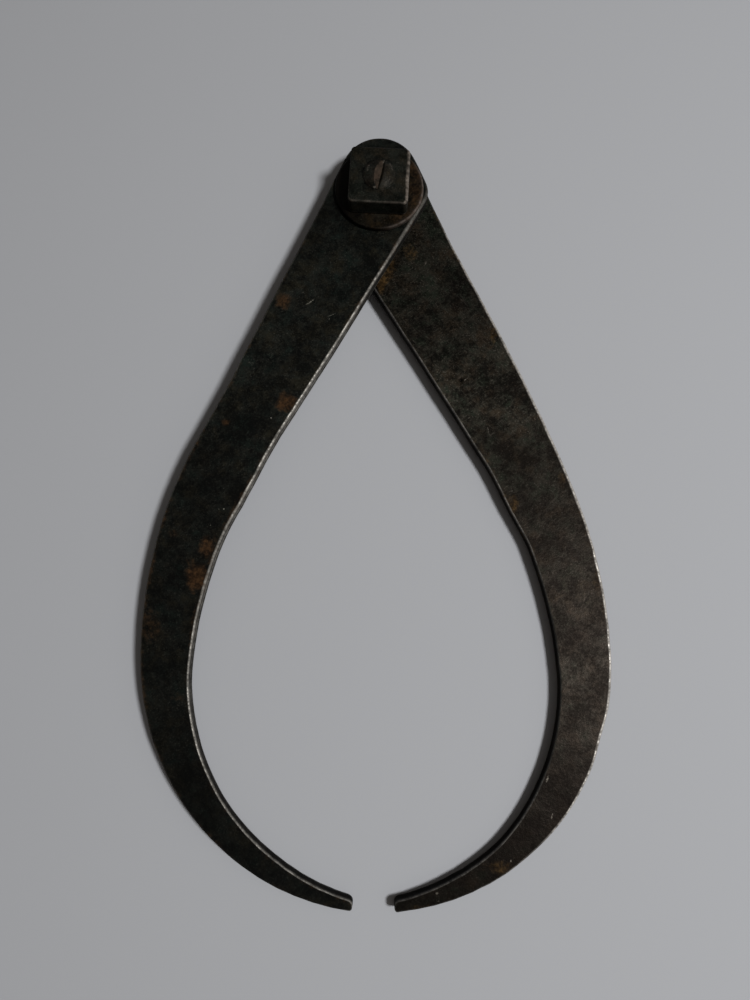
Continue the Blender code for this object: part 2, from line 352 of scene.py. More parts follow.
class Graph:
    """Builds a material's nodes. Places are in mm in the piece's own frame."""

    def __init__(self, name):
        self.material = bpy.data.materials.new(name)
        self.material.use_nodes = True
        self.tree = self.material.node_tree
        self.shader = self.tree.nodes["Principled BSDF"]
        here = self.tree.nodes.new("ShaderNodeTexCoord").outputs["Object"]
        scaled = self.tree.nodes.new("ShaderNodeVectorMath")
        scaled.operation = "SCALE"
        scaled.inputs["Scale"].default_value = TO_MM
        self.tree.links.new(here, scaled.inputs[0])
        self.place = scaled.outputs[0]

    def feed(self, socket, value):
        if isinstance(value, bpy.types.NodeSocket):
            self.tree.links.new(value, socket)
        elif isinstance(value, tuple) and len(value) == 3 and socket.type == "RGBA":
            socket.default_value = (*value, 1.0)
        else:
            socket.default_value = value

    def math(self, operation, first, second, clamp=False):
        node = self.tree.nodes.new("ShaderNodeMath")
        node.operation = operation
        node.use_clamp = clamp
        self.feed(node.inputs[0], first)
        self.feed(node.inputs[1], second)
        return node.outputs[0]

    def times(self, first, second, clamp=False):
        return self.math("MULTIPLY", first, second, clamp)

    def weighted(self, *terms):
        """The sum of (value, weight) terms."""
        total = None
        for value, weight in terms:
            part = self.times(value, weight)
            total = part if total is None else self.math("ADD", total, part)
        return total

    def span(self, value, low, high, to_low=0.0, to_high=1.0):
        """A soft step from to_low to to_high, as the value goes from low to high."""
        node = self.tree.nodes.new("ShaderNodeMapRange")
        node.interpolation_type = "SMOOTHSTEP"
        for socket, given in zip(node.inputs, (value, low, high, to_low, to_high)):
            self.feed(socket, given)
        return node.outputs[0]

    def attribute(self, name):
        node = self.tree.nodes.new("ShaderNodeAttribute")
        node.attribute_name = name
        return node.outputs["Fac"]

    def placed(self, location, turn, scale):
        """The place in a frame that is moved, turned about Z and scaled."""
        mapping = self.tree.nodes.new("ShaderNodeMapping")
        mapping.vector_type = "TEXTURE"
        mapping.inputs["Location"].default_value = location
        mapping.inputs["Rotation"].default_value = (0, 0, turn)
        mapping.inputs["Scale"].default_value = scale
        self.tree.links.new(self.place, mapping.inputs["Vector"])
        return mapping.outputs[0]

    def noise(self, size, detail, roughness, seed, turn=0.0, stretch=1.0):
        """Noise with features of a size in mm, turned about Z and drawn out along its own X."""
        location = tuple(share * seed for share in SEED_SHARES)
        node = self.tree.nodes.new("ShaderNodeTexNoise")
        node.inputs["Scale"].default_value = 1.0
        node.inputs["Detail"].default_value = detail
        node.inputs["Roughness"].default_value = roughness
        self.feed(node.inputs["Vector"], self.placed(location, turn, (size * stretch, size, size)))
        return node.outputs[0]

    def mark(self, x, y, length, width, turn):
        """A soft oval at a place on the XY plane, with a length and a width in mm."""
        node = self.tree.nodes.new("ShaderNodeVectorMath")
        node.operation = "LENGTH"
        self.feed(node.inputs[0], self.placed((x, y, 0), turn, (length / 2, width / 2, MARK_DEPTH)))
        return self.span(node.outputs["Value"], *MARK_SPAN)

    def grey(self, value):
        node = self.tree.nodes.new("ShaderNodeCombineColor")
        for socket in node.inputs:
            self.feed(socket, value)
        return node.outputs[0]

    def mix(self, share, first, second, blend="MIX"):
        node = self.tree.nodes.new("ShaderNodeMix")
        node.data_type = "RGBA"
        node.blend_type = blend
        self.feed(node.inputs["Factor"], share)
        self.feed(node.inputs[6], first)
        self.feed(node.inputs[7], second)
        return node.outputs[2]

    def tinted(self, colour, tint):
        return self.mix(1.0, colour, tint, "MULTIPLY")

    def bump(self, height, distance, strength):
        node = self.tree.nodes.new("ShaderNodeBump")
        node.inputs["Strength"].default_value = strength
        node.inputs["Distance"].default_value = distance / TO_MM
        self.feed(node.inputs["Height"], height)
        return node.outputs[0]


# Patterns of the steels: feature size in mm, detail, roughness and seed, then turn and stretch of hairlines
CLOUD = (9.0, 4.0, 0.6, 11.0)
STAIN = (5.0, 5.0, 0.65, 67.0)
BLOTCH = (2.6, 6.0, 0.68, 23.0)
GRAIN = (0.9, 4.0, 0.65, 5.0)
FINE = (0.42, 2.0, 0.5, 41.0)
HAIR = (0.24, 2.0, 0.5, 3.0, math.radians(38), 14.0)
CROSS = (0.26, 2.0, 0.5, 9.0, math.radians(-47), 12.0)

# Shares of the patterns in the mottling, the ragged rim of the rust and the relief
CLOUD_MOTTLE, BLOTCH_MOTTLE, GRAIN_MOTTLE, FINE_MOTTLE = 0.32, 0.32, 0.23, 0.13
BLOTCH_RAGGED, GRAIN_RAGGED, RAGGED_MIDDLE = 0.9, 0.6, 0.75
BLOTCH_HIGH, GRAIN_HIGH, FINE_HIGH, LINES_HIGH = 0.9, 0.45, 0.10, -0.05
RELIEF_STRENGTH = 0.9

# Soft steps: the pattern's low and high value, and what they turn into if not 0 and 1
TONE_STEP = (0.425, 0.60)
WARM_STEP = (0.47, 0.62)
COOL_STEP = (0.47, 0.36)
HAIR_STEP = (0.58, 0.72)
CROSS_STEP = (0.60, 0.74)
LINE_PLACES = (0.40, 0.60)
DOT_STEP = (0.59, 0.70)
DOT_PLACES = (0.42, 0.62, 0.3, 1.0)
RUST_STEP = (0.05, 1.10)
RUST_FOOT = (0.02, 0.25)
RUST_PLACES = (0.42, 0.60, 0.45, 1.0)
RUST_TONES = (0.35, 0.65)
BROKEN_STEP = (0.40, 0.56)
WORN_PLACES = (0.35, 0.65, 1.4, 0.45)
BARE_METAL = (0.4, 1.0, 0.0, 0.6)
GLOSS_PLACES = (0.40, 0.60)

DOT_SHARE = 0.10
OLD_RUST = (0.45, 0.42, 0.40)
PIT_SHADE_COLOUR = (0.001, 0.001, 0.001)
DARK_DULLER = 0.10
LIGHT_GLOSSIER = 0.05
RUST_DULLER = 0.25
WALL_DULLER = 0.45
DULLEST = 0.95
SPECULAR = 0.045


def aged_steel(
    name, *, dark, light, warm, cool, rust, bright, pale, sheen, scratch, gloss, dent, marks=(), shaded_pits=()
):
    """Scaled, mottled steel with rust patches, bright rims that are partly wear and partly painted highlight,
    pale marks, painted shade from the shade attribute, and painted shade in pits.
    """
    g = Graph(name)
    cloud = g.noise(*CLOUD)
    blotch = g.noise(*BLOTCH)
    grain = g.noise(*GRAIN)
    fine = g.noise(*FINE)
    stain = g.noise(*STAIN)

    # Mottling at four sizes, then warm and cool stains
    level = g.weighted(
        (cloud, CLOUD_MOTTLE), (blotch, BLOTCH_MOTTLE), (grain, GRAIN_MOTTLE), (fine, FINE_MOTTLE)
    )
    tone = g.mix(g.span(level, *TONE_STEP), dark, light)
    tone = g.mix(g.span(stain, *WARM_STEP), tone, g.tinted(tone, warm))
    tone = g.mix(g.span(stain, *COOL_STEP), tone, g.tinted(tone, cool))

    # Hairline scratches and bright dots
    lines = g.math("MAXIMUM", g.span(g.noise(*HAIR), *HAIR_STEP), g.span(g.noise(*CROSS), *CROSS_STEP))
    lines = g.times(lines, g.span(blotch, *LINE_PLACES))
    tone = g.mix(g.times(lines, scratch), tone, pale)
    dots = g.times(g.span(fine, *DOT_STEP), g.span(cloud, *DOT_PLACES))
    tone = g.mix(g.times(dots, DOT_SHARE + scratch), tone, pale)
    # Painted shade and light: the shade attribute darkens or lightens the colour where light and shade fall
    # on the piece, and along the legs it also carries their own tone
    tone = g.tinted(tone, g.grey(g.attribute("shade")))

    # Rust patches with ragged rims
    rust_mask = g.attribute("rust")
    ragged = g.weighted((blotch, BLOTCH_RAGGED), (grain, GRAIN_RAGGED))
    rusty = g.math("ADD", rust_mask, g.math("SUBTRACT", ragged, RAGGED_MIDDLE))
    rusty = g.times(g.span(rusty, *RUST_STEP), g.span(rust_mask, *RUST_FOOT))
    rusty = g.times(rusty, g.span(level, *RUST_PLACES), clamp=True)
    tone = g.mix(rusty, tone, g.mix(g.span(grain, *RUST_TONES), g.tinted(rust, OLD_RUST), rust))

    # Single pale marks, painted shade in pits, then the rims, bright from wear and, where they face the
    # light, from painted highlight
    broken = g.span(fine, *BROKEN_STEP)
    for x, y, length, width, turn, strength in marks:
        mark = g.times(g.mark(x, y, length, width, turn), broken)
        tone = g.mix(g.times(mark, strength), tone, pale)
    for x, y, size in shaded_pits:
        tone = g.mix(g.mark(x, y, size, size, 0.0), tone, PIT_SHADE_COLOUR)
    wear_and_highlight = g.times(g.attribute("wear_and_highlight"), g.span(grain, *WORN_PLACES), clamp=True)
    tone = g.mix(wear_and_highlight, tone, bright)

    dull = g.span(level, *GLOSS_PLACES, gloss + DARK_DULLER, gloss - LIGHT_GLOSSIER)
    dull = g.math("ADD", dull, g.times(rusty, RUST_DULLER))
    bare_wall = g.math("SUBTRACT", g.attribute("wall"), wear_and_highlight, clamp=True)
    dull = g.math("ADD", dull, g.times(bare_wall, WALL_DULLER))
    height = g.weighted((blotch, BLOTCH_HIGH), (grain, GRAIN_HIGH), (fine, FINE_HIGH), (lines, LINES_HIGH))
    g.feed(g.shader.inputs["Base Color"], tone)
    g.feed(g.shader.inputs["Metallic"], g.span(wear_and_highlight, *BARE_METAL))
    g.feed(g.shader.inputs["Roughness"], g.math("MINIMUM", dull, DULLEST))
    g.feed(g.shader.inputs["Normal"], g.bump(height, dent, RELIEF_STRENGTH))
    g.shader.inputs["Specular IOR Level"].default_value = SPECULAR
    g.shader.inputs["Specular Tint"].default_value = (*sheen, 1)
    return g.material


# Pale marks on a piece: X and Y in mm, length, width, turn and strength
UPPER_MARKS = (
    (-20.0, -35.6, 2.6, 0.45, math.radians(35), 0.75),
    (-13.6, -39.6, 2.2, 0.28, math.radians(25), 0.4),
    (-30.4, -70.6, 0.45, 0.4, 0.0, 1.0),
    (-43.0, -96.8, 0.42, 0.42, 0.0, 1.0),
    (-44.4, -96.9, 0.3, 0.3, 0.0, 0.6),
    (-22.1, -32.5, 0.3, 0.3, 0.0, 0.8),
    (-14.3, -40.8, 0.35, 0.3, 0.0, 0.8),
    (-43.3, -91.0, 0.3, 0.3, 0.0, 0.6),
    (-46.6, -101.4, 0.35, 0.3, 0.0, 0.55),
    (-47.9, -111.2, 0.5, 0.35, 0.4, 0.7),
)
LOWER_MARKS = (
    (25.9, -57.1, 1.1, 0.3, math.radians(40), 0.9),
    (32.1, -72.4, 1.6, 0.35, math.radians(-75), 0.6),
    (46.7, -169.2, 1.7, 0.5, math.radians(70), 1.0),
    (47.7, -178.7, 1.4, 0.4, math.radians(75), 0.8),
    (36.5, -190.1, 0.6, 0.35, math.radians(80), 1.0),
    (38.5, -90.4, 0.8, 0.4, math.radians(10), 0.6),
    (16.8, -198.4, 0.7, 0.5, 0.3, 0.5),
    (17.1, -200.3, 0.6, 0.35, 0.0, 0.5),
    (14.2, -20.6, 1.2, 0.35, math.radians(60), 0.5),
)
# Painted highlights on the bolt's end: pale arcs along the dome's rim and spots at the groove's ends
BOLT_END_HIGHLIGHTS = (
    (-3.2, 1.9, 2.8, 0.6, math.radians(80), 0.45),
    (3.4, 2.3, 2.6, 0.5, math.radians(-72), 0.35),
    (2.6, -2.4, 1.6, 0.5, math.radians(40), 0.30),
    (1.2, 4.0, 1.5, 0.5, math.radians(65), 0.60),
    (-1.4, -4.2, 0.8, 0.6, 0.0, 0.55),
)
PIT_X, PIT_Y = 24.4, -57.4
PIT_SIZE = 0.55
PIT_DEPTH = 0.55
PIT_SHADE_SIZE = 0.75

black_scale = aged_steel(
    "black_forge_scale",
    dark=(0.0008, 0.0011, 0.0009),
    light=(0.0110, 0.0122, 0.0100),
    warm=(1.25, 1.04, 0.84),
    cool=(0.74, 1.0, 1.0),
    rust=(0.050, 0.0245, 0.0100),
    bright=(0.30, 0.287, 0.262),
    pale=(0.13, 0.125, 0.105),
    sheen=(1.0, 0.98, 0.92),
    scratch=0.05,
    gloss=0.46,
    dent=0.08,
    marks=UPPER_MARKS,
)
brown_steel = aged_steel(
    "brown_aged_steel",
    dark=(0.0012, 0.0014, 0.0011),
    light=(0.0174, 0.0168, 0.0130),
    warm=(1.24, 1.00, 0.88),
    cool=(0.75, 0.98, 0.90),
    rust=(0.066, 0.038, 0.0125),
    bright=(0.46, 0.44, 0.41),
    pale=(0.13, 0.118, 0.100),
    sheen=(1.0, 0.80, 0.68),
    scratch=0.14,
    gloss=0.35,
    dent=0.12,
    marks=LOWER_MARKS,
    # painted shade in the pit
    shaded_pits=((PIT_X, PIT_Y, PIT_SHADE_SIZE),),
)
washer_steel = aged_steel(
    "rusty_washer_steel",
    dark=(0.0010, 0.0009, 0.0007),
    light=(0.0098, 0.0082, 0.0058),
    warm=(1.35, 1.1, 0.8),
    cool=(0.8, 1.0, 0.95),
    rust=(0.030, 0.0165, 0.0072),
    bright=(0.13, 0.108, 0.096),
    pale=(0.07, 0.06, 0.05),
    sheen=(1.0, 0.85, 0.72),
    scratch=0.05,
    gloss=0.48,
    dent=0.10,
)
nut_steel = aged_steel(
    "dark_nut_steel",
    dark=(0.0010, 0.0014, 0.0010),
    light=(0.0092, 0.0100, 0.0080),
    warm=(1.25, 1.02, 0.85),
    cool=(0.85, 1.0, 0.95),
    rust=(0.020, 0.013, 0.008),
    bright=(0.20, 0.170, 0.145),
    pale=(0.09, 0.08, 0.068),
    sheen=(1.0, 0.95, 0.88),
    scratch=0.08,
    gloss=0.44,
    dent=0.08,
)
bolt_steel = aged_steel(
    "worn_bolt_steel",
    dark=(0.0013, 0.0016, 0.0013),
    light=(0.0118, 0.0122, 0.0098),
    warm=(1.25, 1.02, 0.85),
    cool=(0.85, 1.0, 0.95),
    rust=(0.020, 0.013, 0.008),
    bright=(0.060, 0.042, 0.031),
    pale=(0.09, 0.08, 0.068),
    sheen=(1.0, 0.95, 0.88),
    scratch=0.08,
    gloss=0.46,
    dent=0.08,
    marks=BOLT_END_HIGHLIGHTS,
)


# The two legs

WORK_SPACE = np.array((0.0, -115.0))
LEG_STEP = 0.45
LEG_SPACING = 0.95
LEG_EASE = 1.6
POINTS_BELOW = -193.0
SIDE_BLEND = 5
LEG_ROWS = 6
LEG_SIDE_ROUGH = 0.05
WEAR_CHANGE = 0.16
RIM_REACH = 1.5
FLECK_LOW, FLECK_HIGH = 0.3, 1.6
LOWER_RIM_SHARE = 0.2
RIM_ON_WALL = 2.2
BACK_WEAR = 0.4
WALL_SHADE = 0.25
PIT_SHADE = 0.97
PIT_SPREAD = 0.6
FRINGE_START = 1.2
FRINGE_WIDTH = 1.5
FRINGE_MEAN = 0.55
FRINGE_CHANGE = 0.9
BACK_RUST = 0.25
BLOT_REACH = 1.6
BLOT_RAGGED = 0.35
BLOT_SIZE = 2.0
BLOT_SEED = 3.1


def along(places, stops):
    """A value at each place, from (Y in mm, value) stops."""
    ys, values = zip(*sorted(stops))
    return np.interp(places[:, 1], ys, values)


def blots(points, spots):
    """A mask of soft round patches, each (x, y, radius along X, radius along Y, strength) in mm."""
    mask = np.zeros(len(points))
    ripple = 1 + BLOT_RAGGED * rough(points, BLOT_SIZE, BLOT_SEED)
    for x, y, wide, tall, strength in spots:
        far = np.hypot((points[:, 0] - x) / wide, (points[:, 1] - y) / tall) * ripple
        mask = np.maximum(mask, strength * unit(BLOT_REACH - far))
    return mask


def pit_distance(places, pit):
    """Distance from a pit's middle, in sizes of the pit."""
    x, y, size, _ = pit
    return np.hypot(places[:, 0] - x, places[:, 1] - y) / size


def leg(name, node, seed, edges, shade, rust, pits, material):
    """A leg's plate. What happens along its inner and outer edge is in edges, and seed is of its noise."""
    plate = Plate(node, LEG_STEP, LEG_SPACING)
    plate.smooth(LEG_EASE, POINTS_BELOW)
    faces_work = np.einsum("ij,ij->i", WORK_SPACE - plate.outline, plate.normals) > 0
    inner = eased(faces_work.astype(float), SIDE_BLEND)

    def blend(what):
        inside = along(plate.outline, edges["inner"][what])
        outside = along(plate.outline, edges["outer"][what])
        return inner * inside + (1 - inner) * outside

    def relief(flat, face):
        bumps = layered(flat, (0.05, 9.0, seed + 10 * face), (0.015, 1.8, seed + 20 * face))
        if face > 0:
            for pit in pits:
                bumps = bumps - pit[3] * np.exp(-(pit_distance(flat, pit) ** 2))
        return bumps

    plate.push(blend("swell"))
    plate.push(layered(plate.outline, (0.10, 16.0, seed), (0.025, 2.4, seed + 2)))
    wear = blend("wear") * (1 + WEAR_CHANGE * rough(plate.outline, 7.0, seed + 4))
    made = plate.build(name, wear, relief, LEG_ROWS, LEG_SIDE_ROUGH, pits)

    # Bright rims, partly wear and partly painted highlight on the edges and walls that face the light, with a
    # thin line below them on the walls
    flecks = 1 + layered(plate.outline, (0.35, 5.0, seed + 6), (0.40, 2.2, seed + 7))
    uneven = np.clip(flecks, FLECK_LOW, FLECK_HIGH)
    rim = unit(RIM_REACH - plate.reach) * (blend("rim") * uneven)[plate.near]
    wall = plate.wall * (blend("wall") * uneven)[plate.near]
    below_rim = np.where(plate.lower, LOWER_RIM_SHARE, 1.0) * unit(1 - RIM_ON_WALL * plate.wall)
    bright = np.where(plate.on_wall, np.maximum(wall, rim * below_rim), rim)
    on_back = plate.lower & ~plate.on_wall
    plate.attribute("wear_and_highlight", unit(bright) * np.where(on_back, BACK_WEAR, 1.0))

    # Painted shade: lightness along the leg, painted shade on all walls and painted shade in the pits
    lightness = along(plate.places, shade) * np.where(plate.on_wall, WALL_SHADE, 1.0)
    for pit in pits:
        lightness = lightness * (1 - PIT_SHADE * np.exp(-PIT_SPREAD * pit_distance(plate.places, pit) ** 2))
    plate.attribute("shade", lightness)
    plate.attribute("wall", plate.on_wall)

    # Rust in patches and along the edges
    rusted = blots(plate.places[:, :2], rust)
    fringe = blend("fringe")[plate.near] * unit(FRINGE_START - plate.away / FRINGE_WIDTH)
    fringe *= unit(FRINGE_MEAN + FRINGE_CHANGE * rough(plate.places, 3.2, seed + 8))
    plate.attribute("rust", np.where(plate.lower, BACK_RUST * fringe, np.maximum(rusted, fringe)))
    finish(made, node, material)
    return made


# Stops along Y in mm: swell moves the outline out and wear is the edge's radius, both in mm,
# rim and wall are how bright the edge and the wall below it are, wear and, on the edges that face the light,
# painted highlight, and fringe is rust along the edge
UPPER_EDGES = {
    "inner": {
        "swell": (
            (-30, 0.2), (-45, 0.38), (-62, 0.25), (-75, -0.05), (-83, 0.2), (-90, 0.6), (-95, 0.65),
            (-101, 0.2), (-108, 0.0), (-145, 0.05), (-155, 0.42), (-175, 0.45), (-188, 0.6), (-194, 0.55),
            (-200, 0.15), (-203, 0),
        ),
        "wear": (
            (-10, 0.75), (-22, 0.45), (-60, 0.40), (-110, 0.45), (-130, 0.35), (-160, 0.30), (-200, 0.22),
        ),
        "rim": (
            (-8, 0.20), (-17, 0.30), (-24, 0.60), (-32, 0.85), (-45, 0.95), (-70, 0.95), (-95, 0.8),
            (-104, 0.45), (-120, 0.5), (-130, 0.75), (-160, 0.8), (-185, 0.65), (-202, 0.5),
        ),
        "wall": (
            (-19, 0.04), (-35, 0.12), (-52, 0.4), (-100, 0.42), (-130, 0.30), (-150, 0.18), (-170, 0.06),
            (-202, 0.02),
        ),
        "fringe": ((-20, 0.6), (-60, 0.3), (-75, 0.6), (-120, 0.9), (-135, 0.3), (-200, 0.3)),
    },
    "outer": {
        "swell": (
            (-25, 0.0), (-35, -0.2), (-52, -0.5), (-62, -0.55), (-68, -0.35), (-74, 0.0), (-80, 0.35),
            (-90, 0.6), (-122, 0.6), (-135, 0.3), (-160, 0.15), (-175, 0.0),
        ),
        "wear": ((0, 0.40), (-202, 0.25)),
        "rim": ((0, 0.06), (-60, 0.12), (-202, 0.04)),
        "wall": ((0, 0.03), (-202, 0.03)),
        "fringe": ((0, 0.2), (-60, 0.4), (-120, 0.6), (-150, 0.4), (-202, 0.2)),
    },
}
LOWER_EDGES = {
    "inner": {
        "swell": (
            (-60, 0.0), (-84, 0.2), (-92, 0.8), (-96, 0.9), (-100, 0.6), (-106, 0.1), (-145, 0.1),
            (-162, -0.2), (-171, -0.45), (-178, -0.85), (-185, -1.05), (-193, -0.7), (-200, -0.2), (-203, 0),
        ),
        "wear": ((-20, 0.28), (-202, 0.24)),
        "rim": (
            (-20, 0.1), (-60, 0.22), (-95, 0.30), (-120, 0.06), (-165, 0.05), (-180, 0.2), (-202, 0.1),
        ),
        "wall": ((-20, 0.0), (-202, 0.0)),
        "fringe": ((-20, 0.2), (-80, 0.3), (-95, 0.6), (-120, 0.2), (-202, 0.1)),
    },
    "outer": {
        "swell": (
            (-15, 0.2), (-31, 0.55), (-46, 0.85), (-55, 0.75), (-69, 0.37), (-78, 0.0), (-87, -0.2),
            (-96, 0.0), (-121, 0.45), (-138, 0.7), (-150, 0.9), (-158, 0.6), (-165, 1.2), (-175, 1.3),
            (-182, 1.2), (-189, 0.95), (-194, 0.75), (-200, 0.25), (-203, 0),
        ),
        "wear": (
            (0, 0.36), (-20, 0.50), (-70, 0.60), (-110, 0.60), (-160, 0.58), (-180, 0.40), (-202, 0.24),
        ),
        "rim": (
            (-4, 0.06), (-18, 0.6), (-70, 0.8), (-110, 0.95), (-150, 1.0), (-175, 0.9), (-186, 0.25),
            (-202, 0.05),
        ),
        "wall": (
            (-4, 0.02), (-18, 0.06), (-70, 0.2), (-140, 0.3), (-175, 0.2), (-188, 0.05), (-202, 0.05),
        ),
        "fringe": ((-4, 0.25), (-18, 0.4), (-60, 0.45), (-120, 0.5), (-150, 0.1), (-202, 0.1)),
    },
}

# How light each leg's colour is along Y in mm: partly the scale's own tone, partly painted shade and painted
# sheen along the leg
UPPER_TONE_AND_PAINTED_LIGHT = (
    (0, 0.66), (-20, 0.74), (-43, 0.88), (-64, 0.84), (-85, 0.64), (-105, 0.60), (-125, 0.46), (-144, 0.52),
    (-162, 0.36), (-178, 0.36), (-190, 0.31), (-202, 0.41),
)
LOWER_TONE_AND_PAINTED_LIGHT = (
    (-10, 0.70), (-20, 0.66), (-42, 0.82), (-64, 1.40), (-84, 0.84), (-105, 0.72), (-124, 0.93), (-150, 0.98),
    (-161, 0.60), (-175, 0.28), (-190, 0.28), (-202, 0.27),
)

# Rust patches: X and Y in mm, radius along X, radius along Y and strength
UPPER_RUST = (
    (-25.9, -66.2, 2.6, 2.3, 0.9),
    (-27.9, -35.3, 1.9, 2.2, 0.6),
    (-47.2, -107.5, 2.0, 2.6, 0.75),
    (-49.8, -116.0, 2.6, 3.2, 0.95),
    (-43.3, -71.9, 1.0, 0.9, 0.85),
    (-62.0, -129.5, 3.0, 4.5, 0.28),
    (-57.0, -104.0, 1.2, 1.2, 0.35),
    (-54.0, -148.5, 2.0, 1.4, 0.25),
)
LOWER_RUST = (
    (0.8, -26.3, 1.3, 2.8, 1.0),
    (3.2, -22.0, 1.6, 3.4, 0.62),
    (9.6, -17.0, 2.0, 2.6, 0.40),
    (34.1, -43.4, 0.9, 2.6, 0.6),
    (39.2, -94.7, 1.0, 2.6, 0.7),
    (53.2, -86.5, 1.3, 1.8, 0.45),
    (62.1, -115.6, 1.0, 3.2, 0.4),
    (33.7, -191.8, 3.0, 1.5, 0.52),
    (57.0, -120.0, 7.0, 9.0, 0.16),
    (12.5, -202.0, 2.4, 0.8, 0.35),
)
LOWER_PITS = ((PIT_X, PIT_Y, PIT_SIZE, PIT_DEPTH),)
UPPER_SEED = 2.0
LOWER_SEED = 47.0

upper_leg = leg(
    "upper_leg_forged", "upper_leg", UPPER_SEED, UPPER_EDGES, UPPER_TONE_AND_PAINTED_LIGHT, UPPER_RUST, (), black_scale
)
lower_leg = leg(
    "lower_leg_forged", "lower_leg", LOWER_SEED, LOWER_EDGES, LOWER_TONE_AND_PAINTED_LIGHT, LOWER_RUST, LOWER_PITS, brown_steel
)
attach(upper_leg, "upper_leg")
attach(lower_leg, "lower_leg")


# Washer: its rim bright towards the lower right, wear and painted highlight where it faces the light; rustier
# on its right side, and darker towards its left and on its walls, painted shadow of the nut and painted shade

WASHER_STEP = 0.4
WASHER_SPACING = 0.7
WASHER_EASE = 1.2
WASHER_WEAR, WASHER_WEAR_CHANGE = 0.42, 0.25
WASHER_ROWS = 4
WASHER_SIDE_ROUGH = 0.04
WASHER_LIT_WAY = np.array((0.94, -0.34))
WASHER_LIT_GAIN, WASHER_LIT_START = 1.6, 0.6
WASHER_RIM_REACH = 1.6
WASHER_WALL_WORN, WASHER_FACE_WORN = 0.35, 0.55
WASHER_RUST, WASHER_RUST_SLOPE, WASHER_RUST_CHANGE = 0.16, 0.045, 0.45
WASHER_SHADE, WASHER_SHADE_SLOPE = 0.90, 0.07
WASHER_DARKEST, WASHER_LIGHTEST = 0.1, 1.2
WASHER_WALL_SHADE = 0.7


def washer_relief(flat, face):
    return layered(flat, (0.04, 5.0, 9.0 + face), (0.012, 1.2, 12.0 + face))


washer = Plate("washer", WASHER_STEP, WASHER_SPACING)
washer.smooth(WASHER_EASE)
washer.push(layered(washer.outline, (0.10, 8.0, 5.0), (0.03, 1.5, 6.0)))
washer_wear = WASHER_WEAR * (1 + WASHER_WEAR_CHANGE * rough(washer.outline, 4.0, 8.0))
washer_made = washer.build("washer_rusted", washer_wear, washer_relief, WASHER_ROWS, WASHER_SIDE_ROUGH)
# Painted highlight: the rim is made bright only where it faces the light, towards the lower right
washer_lit = unit(WASHER_LIT_GAIN * washer.normals @ WASHER_LIT_WAY - WASHER_LIT_START)[washer.near]
washer_rim = unit(WASHER_RIM_REACH - washer.reach)
washer_worn = np.where(washer.on_wall, WASHER_WALL_WORN, WASHER_FACE_WORN)
washer_x = washer.places[:, 0]
washer_rust = WASHER_RUST + WASHER_RUST_SLOPE * washer_x
washer_rust = washer_rust + WASHER_RUST_CHANGE * rough(washer.places, 3.5, 14.0)
# Painted shadow: the washer is darkened towards its left, where the nut's shadow falls, and painted shade
# darkens its walls
washer_shade = np.clip(WASHER_SHADE + WASHER_SHADE_SLOPE * washer_x, WASHER_DARKEST, WASHER_LIGHTEST)
washer.attribute("wear_and_highlight", washer_worn * washer_rim * washer_lit)
washer.attribute("rust", unit(washer_rust))
washer.attribute("shade", washer_shade * np.where(washer.on_wall, WASHER_WALL_SHADE, 1.0))
finish(washer_made, "washer", washer_steel)
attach(washer_made, "washer")


# Nut: its right edge is the most worn and the brightest, then its front edge and the corner between them; the
# brightness is partly wear and partly painted highlight on the sides that face the light, and its back edge
# and walls are darkened with painted shade

BOLT_RADIUS = 4.75
BOLT_GAP = 0.03
NUT_STEP = 0.25
NUT_SPACING = 0.45
NUT_EASE = 0.35
NUT_WEAR, NUT_WEAR_RIGHT, NUT_WEAR_FRONT = 0.28, 0.45, 0.06
NUT_WEAR_CHANGE = 0.25
NUT_ROWS = 10
NUT_SIDE_ROUGH = 0.06
NUT_RIGHT_BRIGHT, NUT_FRONT_BRIGHT, NUT_LEAST_BRIGHT = 0.55, 0.11, 0.02
NUT_CORNER_WAY = np.array((0.71, -0.71))
NUT_CORNER_GAIN, NUT_CORNER_START = 4, 3
NUT_CORNER_BRIGHT = 0.6
NUT_FLECK_MEAN, NUT_FLECK_CHANGE = 0.9, 0.9
NUT_FLECK_LOW, NUT_FLECK_HIGH = 0.1, 1.6
NUT_WALL_BRIGHT = 0.10
NUT_RUST, NUT_RUST_CHANGE, NUT_WALL_RUST = 0.08, 0.4, 0.3
NUT_WALL_SHADE = 0.80
NUT_BACK_SHADE = 0.85


def nut_relief(flat, face):
    return layered(flat, (0.05, 4.0, 21.0 + face), (0.014, 1.0, 23.0 + face))


nut = Plate("square_nut", NUT_STEP, NUT_SPACING)
nut.bore = BOLT_RADIUS + BOLT_GAP
nut.smooth(NUT_EASE)
nut.push(layered(nut.outline, (0.07, 6.0, 3.0), (0.02, 1.2, 4.0)))
nut_right = unit(nut.normals[:, 0])
nut_front = unit(-nut.normals[:, 1])
nut_wear = NUT_WEAR + NUT_WEAR_RIGHT * nut_right + NUT_WEAR_FRONT * nut_front
nut_wear = nut_wear * (1 + NUT_WEAR_CHANGE * rough(nut.outline, 3.0, 5.0))
nut_made = nut.build("square_nut_worn", nut_wear, nut_relief, NUT_ROWS, NUT_SIDE_ROUGH)
